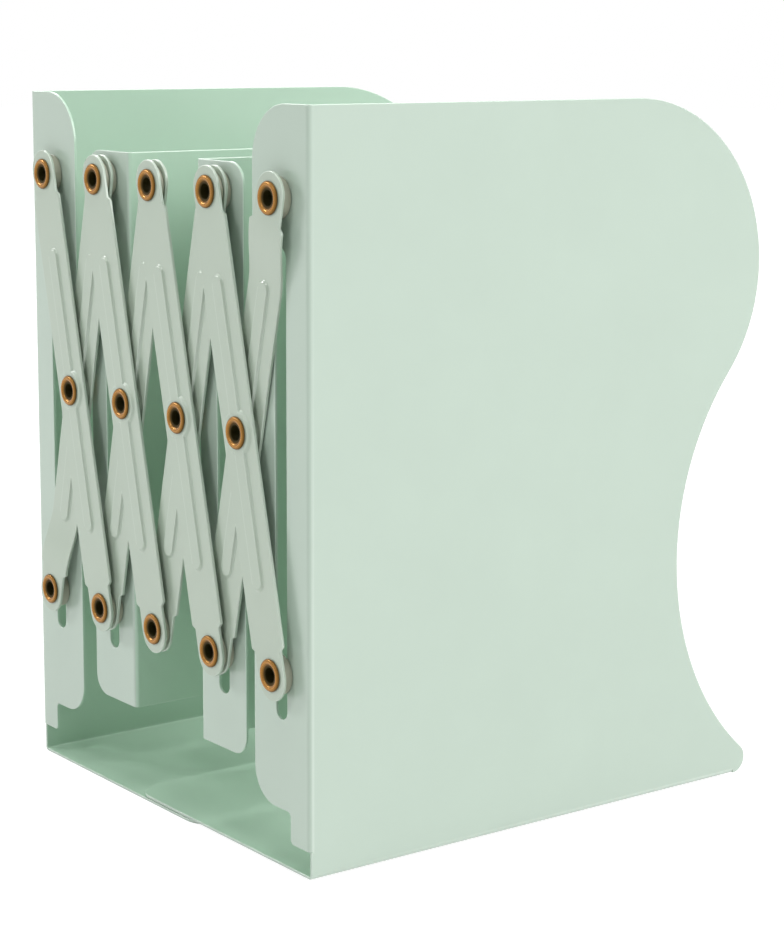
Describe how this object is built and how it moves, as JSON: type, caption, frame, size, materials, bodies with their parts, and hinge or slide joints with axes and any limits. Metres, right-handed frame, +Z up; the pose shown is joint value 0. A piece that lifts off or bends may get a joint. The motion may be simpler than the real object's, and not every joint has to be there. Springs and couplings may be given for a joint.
{
  "type": "expanding bookend",
  "caption": "Expanding sheet-steel bookend: end panels and dividers on a row of crossed, pinned links that open and close like a scissor gate.",
  "frame": {"origin": "on the surface that the bookend stands on, under the middle of its bounding box", "axes": "+X along the row of links from the left end panel to the right one, +Y from the links back along the end panels, +Z up"},
  "size_m": [0.146, 0.1667, 0.205],
  "materials": {
    "mint_coat": "matte mint-green powder coat on sheet steel",
    "copper_plate": "glossy copper plating",
    "clear_nylon": "translucent beige-grey nylon"
  },
  "bodies": {
    "left_end": {"left_end_panel": "mint_coat", "top_eyelet_1": "copper_plate", "top_flange_washer_1": "clear_nylon"},
    "front_link_1": {"front_link_1": "mint_coat", "middle_eyelet_1": "copper_plate", "middle_link_washer_1": "clear_nylon", "bottom_eyelet_2": "copper_plate", "bottom_link_washer_2": "clear_nylon", "bottom_flange_washer_2": "clear_nylon"},
    "rear_link_1": {"rear_link_1": "mint_coat", "bottom_eyelet_1": "copper_plate", "bottom_flange_washer_1": "clear_nylon", "top_eyelet_2": "copper_plate", "top_link_washer_2": "clear_nylon", "top_flange_washer_2": "clear_nylon"},
    "left_divider": {"left_divider": "mint_coat"},
    "front_link_2": {"front_link_2": "mint_coat", "middle_eyelet_2": "copper_plate", "middle_link_washer_2": "clear_nylon", "bottom_eyelet_3": "copper_plate", "bottom_link_washer_3": "clear_nylon"},
    "rear_link_2": {"rear_link_2": "mint_coat", "top_eyelet_3": "copper_plate", "top_link_washer_3": "clear_nylon"},
    "front_link_3": {"front_link_3": "mint_coat", "middle_eyelet_3": "copper_plate", "middle_link_washer_3": "clear_nylon", "bottom_eyelet_4": "copper_plate", "bottom_link_washer_4": "clear_nylon", "bottom_flange_washer_4": "clear_nylon"},
    "rear_link_3": {"rear_link_3": "mint_coat", "top_eyelet_4": "copper_plate", "top_link_washer_4": "clear_nylon", "top_flange_washer_4": "clear_nylon"},
    "right_divider": {"right_divider": "mint_coat"},
    "front_link_4": {"front_link_4": "mint_coat", "middle_eyelet_4": "copper_plate", "middle_link_washer_4": "clear_nylon", "bottom_eyelet_5": "copper_plate", "bottom_flange_washer_5": "clear_nylon"},
    "rear_link_4": {"rear_link_4": "mint_coat", "top_eyelet_5": "copper_plate", "top_flange_washer_5": "clear_nylon"},
    "right_end": {"right_end_panel": "mint_coat"}
  },
  "joints": [
    {"name": "row_extension", "type": "hinge", "parent": "left_end", "child": "front_link_1", "pos_m": [-0.06, -0.07815, 0.18098], "axis": [0, -1, 0], "range_deg": [-4, 50]},
    {"name": "crossing_1_pivot", "type": "hinge", "parent": "front_link_1", "child": "rear_link_1", "pos_m": [-0.045, -0.07815, 0.11799], "axis": [0, -1, 0], "range_deg": [-100, 8]},
    {"name": "left_divider_pivot", "type": "hinge", "parent": "rear_link_1", "child": "left_divider", "pos_m": [-0.03, -0.07815, 0.18098], "axis": [0, -1, 0], "range_deg": [-4, 50]},
    {"name": "top_2_pivot", "type": "hinge", "parent": "rear_link_1", "child": "front_link_2", "pos_m": [-0.03, -0.07815, 0.18098], "axis": [0, -1, 0], "range_deg": [-8, 100]},
    {"name": "crossing_2_pivot", "type": "hinge", "parent": "front_link_2", "child": "rear_link_2", "pos_m": [-0.015, -0.07815, 0.11799], "axis": [0, -1, 0], "range_deg": [-100, 8]},
    {"name": "top_3_pivot", "type": "hinge", "parent": "rear_link_2", "child": "front_link_3", "pos_m": [0, -0.07815, 0.18098], "axis": [0, -1, 0], "range_deg": [-8, 100]},
    {"name": "crossing_3_pivot", "type": "hinge", "parent": "front_link_3", "child": "rear_link_3", "pos_m": [0.015, -0.07815, 0.11799], "axis": [0, -1, 0], "range_deg": [-100, 8]},
    {"name": "right_divider_pivot", "type": "hinge", "parent": "rear_link_3", "child": "right_divider", "pos_m": [0.03, -0.07815, 0.18098], "axis": [0, -1, 0], "range_deg": [-4, 50]},
    {"name": "top_4_pivot", "type": "hinge", "parent": "rear_link_3", "child": "front_link_4", "pos_m": [0.03, -0.07815, 0.18098], "axis": [0, -1, 0], "range_deg": [-8, 100]},
    {"name": "crossing_4_pivot", "type": "hinge", "parent": "front_link_4", "child": "rear_link_4", "pos_m": [0.045, -0.07815, 0.11799], "axis": [0, -1, 0], "range_deg": [-100, 8]},
    {"name": "right_end_pivot", "type": "hinge", "parent": "rear_link_4", "child": "right_end", "pos_m": [0.06, -0.07815, 0.18098], "axis": [0, -1, 0], "range_deg": [-4, 50]}
  ],
  "couplings": [
    {"joint": "crossing_1_pivot", "follows": "row_extension", "ratio": -2},
    {"joint": "left_divider_pivot", "follows": "row_extension", "ratio": 1},
    {"joint": "top_2_pivot", "follows": "row_extension", "ratio": 2},
    {"joint": "crossing_2_pivot", "follows": "row_extension", "ratio": -2},
    {"joint": "top_3_pivot", "follows": "row_extension", "ratio": 2},
    {"joint": "crossing_3_pivot", "follows": "row_extension", "ratio": -2},
    {"joint": "right_divider_pivot", "follows": "row_extension", "ratio": 1},
    {"joint": "top_4_pivot", "follows": "row_extension", "ratio": 2},
    {"joint": "crossing_4_pivot", "follows": "row_extension", "ratio": -2},
    {"joint": "right_end_pivot", "follows": "row_extension", "ratio": 1}
  ]
}
